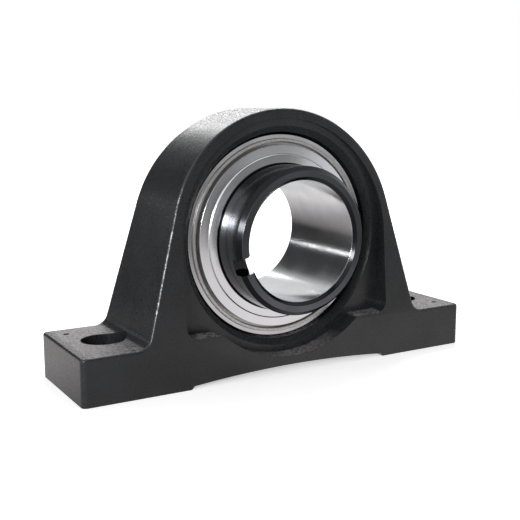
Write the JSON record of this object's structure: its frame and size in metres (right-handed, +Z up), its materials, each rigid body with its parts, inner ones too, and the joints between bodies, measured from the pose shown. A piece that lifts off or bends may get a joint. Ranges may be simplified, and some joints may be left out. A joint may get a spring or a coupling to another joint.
{
  "type": "pillow block bearing",
  "caption": "Black cast pillow block with slotted feet, carrying a self-aligning insert ball bearing with flingers and a drive slot in its extended inner ring.",
  "frame": {"origin": "on the mounting surface, under the bearing centre and midway between the two foot bolts", "axes": "+Z up from the mounting surface, +Y along the shaft axis towards the rear (the drive slot faces -Y), +X along the base"},
  "size_m": [0.26, 0.0785, 0.1544],
  "materials": {
    "black_iron": "satin black paint",
    "ring_steel": "ground and polished",
    "ball_steel": "polished",
    "sheet_steel": "bright zinc",
    "cage_steel": "pressed",
    "plug_steel": "dark",
    "seal_rubber": "matt"
  },
  "bodies": {
    "housing": {"housing": "black_iron", "grease_plug": "plug_steel"},
    "insert": {"outer_ring": "ring_steel", "seal_washer_front": "sheet_steel", "seal_washer_rear": "sheet_steel", "seal_lip_front": "seal_rubber", "seal_lip_rear": "seal_rubber"},
    "inner": {"inner_ring": "ring_steel", "flinger_front": "sheet_steel", "flinger_rear": "sheet_steel"},
    "cage": {"cage_front": "cage_steel", "cage_rear": "cage_steel", "cage_rivets": "cage_steel"},
    "ball_01": {"ball_01": "ball_steel"},
    "ball_02": {"ball_02": "ball_steel"},
    "ball_03": {"ball_03": "ball_steel"},
    "ball_04": {"ball_04": "ball_steel"},
    "ball_05": {"ball_05": "ball_steel"},
    "ball_06": {"ball_06": "ball_steel"},
    "ball_07": {"ball_07": "ball_steel"},
    "ball_08": {"ball_08": "ball_steel"},
    "ball_09": {"ball_09": "ball_steel"},
    "ball_10": {"ball_10": "ball_steel"}
  },
  "joints": [
    {"name": "insert_swivel", "type": "hinge", "parent": "housing", "child": "insert", "pos_m": [0, 0, 0.0794], "axis": [1, 0, 0], "range_deg": [-2.5, 2.5]},
    {"name": "shaft_spin", "type": "hinge", "parent": "insert", "child": "inner", "pos_m": [0, 0, 0.0794], "axis": [0, 1, 0], "continuous": true},
    {"name": "cage_spin", "type": "hinge", "parent": "insert", "child": "cage", "pos_m": [0, 0, 0.0794], "axis": [0, 1, 0], "continuous": true},
    {"name": "ball_01_spin", "type": "hinge", "parent": "cage", "child": "ball_01", "pos_m": [0, 0, 0.1274], "axis": [0, 1, 0], "continuous": true},
    {"name": "ball_02_spin", "type": "hinge", "parent": "cage", "child": "ball_02", "pos_m": [-0.02821, 0, 0.11823], "axis": [0, 1, 0], "continuous": true},
    {"name": "ball_03_spin", "type": "hinge", "parent": "cage", "child": "ball_03", "pos_m": [-0.04565, 0, 0.09423], "axis": [0, 1, 0], "continuous": true},
    {"name": "ball_04_spin", "type": "hinge", "parent": "cage", "child": "ball_04", "pos_m": [-0.04565, 0, 0.06457], "axis": [0, 1, 0], "continuous": true},
    {"name": "ball_05_spin", "type": "hinge", "parent": "cage", "child": "ball_05", "pos_m": [-0.02821, 0, 0.04057], "axis": [0, 1, 0], "continuous": true},
    {"name": "ball_06_spin", "type": "hinge", "parent": "cage", "child": "ball_06", "pos_m": [0, 0, 0.0314], "axis": [0, 1, 0], "continuous": true},
    {"name": "ball_07_spin", "type": "hinge", "parent": "cage", "child": "ball_07", "pos_m": [0.02821, 0, 0.04057], "axis": [0, 1, 0], "continuous": true},
    {"name": "ball_08_spin", "type": "hinge", "parent": "cage", "child": "ball_08", "pos_m": [0.04565, 0, 0.06457], "axis": [0, 1, 0], "continuous": true},
    {"name": "ball_09_spin", "type": "hinge", "parent": "cage", "child": "ball_09", "pos_m": [0.04565, 0, 0.09423], "axis": [0, 1, 0], "continuous": true},
    {"name": "ball_10_spin", "type": "hinge", "parent": "cage", "child": "ball_10", "pos_m": [0.02821, 0, 0.11823], "axis": [0, 1, 0], "continuous": true}
  ],
  "couplings": [
    {"joint": "cage_spin", "follows": "shaft_spin", "ratio": 0.40905},
    {"joint": "ball_01_spin", "follows": "shaft_spin", "ratio": -2.6578},
    {"joint": "ball_02_spin", "follows": "shaft_spin", "ratio": -2.6578},
    {"joint": "ball_03_spin", "follows": "shaft_spin", "ratio": -2.6578},
    {"joint": "ball_04_spin", "follows": "shaft_spin", "ratio": -2.6578},
    {"joint": "ball_05_spin", "follows": "shaft_spin", "ratio": -2.6578},
    {"joint": "ball_06_spin", "follows": "shaft_spin", "ratio": -2.6578},
    {"joint": "ball_07_spin", "follows": "shaft_spin", "ratio": -2.6578},
    {"joint": "ball_08_spin", "follows": "shaft_spin", "ratio": -2.6578},
    {"joint": "ball_09_spin", "follows": "shaft_spin", "ratio": -2.6578},
    {"joint": "ball_10_spin", "follows": "shaft_spin", "ratio": -2.6578}
  ]
}
